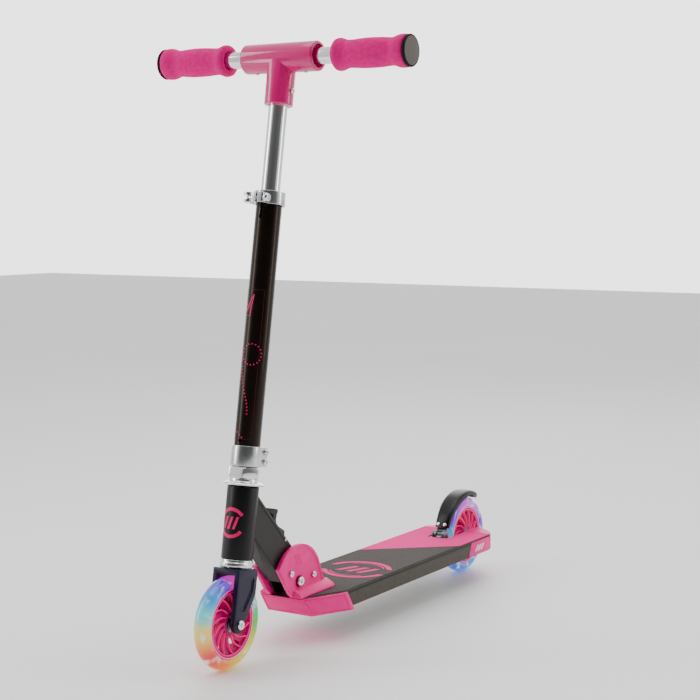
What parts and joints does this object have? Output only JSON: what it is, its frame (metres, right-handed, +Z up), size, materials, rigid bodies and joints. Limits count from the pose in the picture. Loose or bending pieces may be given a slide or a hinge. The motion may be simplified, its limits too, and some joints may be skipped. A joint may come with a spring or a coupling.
{
  "type": "folding kick scooter",
  "caption": "Child's folding kick scooter: hinged neck behind the front wheel, telescoping stem with a T handlebar and foam grips, gritted deck and a sprung fender brake over the rear wheel.",
  "frame": {"origin": "on the ground under the middle of the wheelbase, which is also the middle of the overall box", "axes": "+Z up, -Y is the riding direction, +X is the rider's left"},
  "size_m": [0.3868, 0.7537, 0.7996],
  "materials": {
    "black_powder_coat": "satin black powder coat",
    "gritty_black_coat": "coarse charcoal texture coat",
    "griptape": "gritty sheet, charcoal in front and pink behind",
    "pink_paint": "satin pink paint on castings",
    "pink_plastic": "satin moulded pink",
    "pink_enamel": "high gloss deep pink",
    "pink_foam": "fine closed-cell foam",
    "chrome": "mirror chrome plating",
    "polished_aluminium": "polished",
    "steel": "zinc-plated",
    "black_plastic": "satin moulded black",
    "clear_urethane": "translucent pink-tinted polyurethane"
  },
  "bodies": {
    "deck": {"deck": "gritty_black_coat", "griptape": "griptape", "nose_bumper": "pink_plastic", "hinge_cheek_left": "pink_paint", "hinge_cheek_right": "pink_paint", "hinge_block": "black_plastic", "hinge_pivot_bolt": "chrome", "hinge_pivot_nut": "chrome", "cross_bolt_front": "chrome", "cross_bolt_rear": "chrome", "tail_dropout_left": "pink_paint", "tail_dropout_right": "pink_paint", "rear_axle_bolt": "chrome", "rear_axle_nut": "chrome", "brake_bracket": "steel", "brake_pin": "steel", "brake_spring": "steel"},
    "neck": {"head_tube": "black_powder_coat", "neck_beam": "black_powder_coat", "headset_cup_upper": "chrome", "headset_cup_lower": "chrome", "release_lever_pin": "steel"},
    "steering": {"fork": "black_powder_coat", "steerer_tube": "steel", "headset_locknut": "chrome", "lower_clamp": "polished_aluminium", "lower_clamp_bolt_upper": "chrome", "lower_clamp_bolt_lower": "chrome", "stem_outer_tube": "black_powder_coat", "upper_clamp": "polished_aluminium", "clamp_skewer": "chrome", "clamp_nut": "chrome", "stem_bushing": "black_plastic", "front_axle_bolt": "chrome", "front_axle_nut": "chrome"},
    "handle": {"stem_inner_tube": "chrome", "handlebar_tee": "pink_enamel", "tee_screw": "chrome", "handlebar_left": "chrome", "handlebar_right": "chrome", "grip_left": "pink_foam", "grip_right": "pink_foam", "bar_plug_left": "black_plastic", "bar_plug_right": "black_plastic"},
    "push_button_left": {"push_button_left": "steel"},
    "push_button_right": {"push_button_right": "steel"},
    "release_lever": {"release_lever": "black_plastic"},
    "clamp_lever": {"clamp_lever": "polished_aluminium"},
    "brake": {"brake_arm": "steel", "brake_fender": "black_plastic", "brake_rivet_left": "polished_aluminium", "brake_rivet_right": "polished_aluminium"},
    "front_wheel": {"front_tyre": "clear_urethane", "front_wheel_core": "pink_plastic", "front_bearing_left": "steel", "front_bearing_right": "steel"},
    "rear_wheel": {"rear_tyre": "clear_urethane", "rear_wheel_core": "pink_plastic", "rear_bearing_left": "steel", "rear_bearing_right": "steel"}
  },
  "joints": [
    {"name": "fold", "type": "hinge", "parent": "deck", "child": "neck", "pos_m": [0, -0.1825, 0.0887], "axis": [-1, 0, 0], "range_deg": [0, 86]},
    {"name": "steer", "type": "hinge", "parent": "neck", "child": "steering", "pos_m": [0, -0.3073, 0.06], "axis": [0, 0.1668, 0.986], "range_deg": [-60, 60]},
    {"name": "height_slide", "type": "slide", "parent": "steering", "child": "handle", "axis": [0, 0.1668, 0.986], "range_m": [-0.1, 0]},
    {"name": "front_wheel_spin", "type": "hinge", "parent": "steering", "child": "front_wheel", "pos_m": [0, -0.317, 0.06], "axis": [1, 0, 0], "continuous": true},
    {"name": "rear_wheel_spin", "type": "hinge", "parent": "deck", "child": "rear_wheel", "pos_m": [0, 0.317, 0.06], "axis": [1, 0, 0], "continuous": true},
    {"name": "brake_press", "type": "hinge", "parent": "deck", "child": "brake", "pos_m": [0, 0.245, 0.073], "axis": [-1, 0, 0], "range_deg": [0, 5.5], "stiffness_Nm_per_rad": 0.5, "springref_deg": -5.73},
    {"name": "fold_release", "type": "hinge", "parent": "neck", "child": "release_lever", "pos_m": [0, -0.204, 0.148], "axis": [-1, 0, 0], "range_deg": [0, 10], "stiffness_Nm_per_rad": 0.2, "springref_deg": -5.73},
    {"name": "clamp_open", "type": "hinge", "parent": "steering", "child": "clamp_lever", "pos_m": [-0.0165, -0.24058, 0.59841], "axis": [0, 0.1668, 0.986], "range_deg": [0, 150]},
    {"name": "button_press_left", "type": "slide", "parent": "handle", "child": "push_button_left", "axis": [0, 0.1668, 0.986], "range_m": [0, 0.004], "stiffness_N_per_m": 400, "springref_m": -0.002},
    {"name": "button_press_right", "type": "slide", "parent": "handle", "child": "push_button_right", "axis": [0, 0.1668, 0.986], "range_m": [0, 0.004], "stiffness_N_per_m": 400, "springref_m": -0.002}
  ]
}
